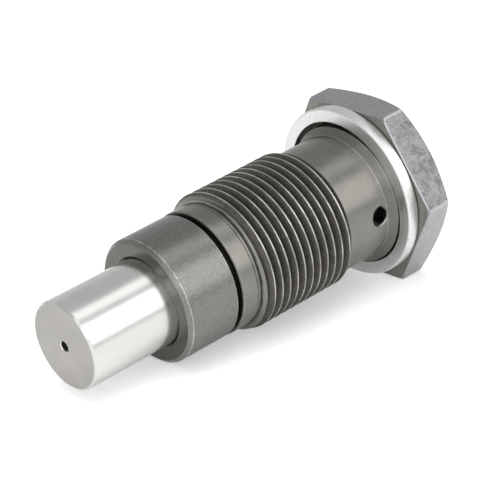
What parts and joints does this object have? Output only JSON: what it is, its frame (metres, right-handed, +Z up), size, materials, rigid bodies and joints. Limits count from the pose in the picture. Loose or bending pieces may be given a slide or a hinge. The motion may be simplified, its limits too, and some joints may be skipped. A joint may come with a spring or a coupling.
{
  "type": "timing chain tensioner",
  "caption": "Screw-in hydraulic timing chain tensioner with a hexagon head, seal ring, threaded body, oil hole, guide collar and spring-loaded plunger.",
  "frame": {"origin": "centre of the seal ring's front face, on the tensioner's axis, where it meets the engine", "axes": "+X along the floor from the hexagon head to the plunger's tip, +Z up from the floor on which the part lies, resting on a flat of its hexagon and the rim of its collar"},
  "size_m": [0.064, 0.0312, 0.0274],
  "materials": {
    "housing_steel": "dark phosphated, satin",
    "sleeve_steel": "dark phosphated, fine turned",
    "ground_steel": "ground bright",
    "spring_steel": "oil-tempered wire",
    "valve_steel": "turned",
    "washer_aluminium": "soft, scratched",
    "filler_plastic": "natural"
  },
  "bodies": {
    "housing": {"housing": "housing_steel", "sealing_washer": "washer_aluminium", "guide_sleeve": "sleeve_steel", "valve_body": "valve_steel", "ball_cage": "valve_steel", "ball_spring": "spring_steel", "plunger_spring": "spring_steel"},
    "plunger": {"plunger": "ground_steel", "stop_ring": "spring_steel", "filler_insert": "filler_plastic", "vent_disc": "valve_steel"},
    "check_ball": {"check_ball": "ground_steel"}
  },
  "joints": [
    {"name": "plunger_slide", "type": "slide", "parent": "housing", "child": "plunger", "axis": [0.9957, 0, -0.0927], "range_m": [-0.012, 0], "stiffness_N_per_m": 2390, "deforming": ["plunger_spring"]},
    {"name": "ball_lift", "type": "slide", "parent": "housing", "child": "check_ball", "axis": [0.9957, 0, -0.0927], "range_m": [0, 0.0005], "stiffness_N_per_m": 50, "deforming": ["ball_spring"]}
  ]
}
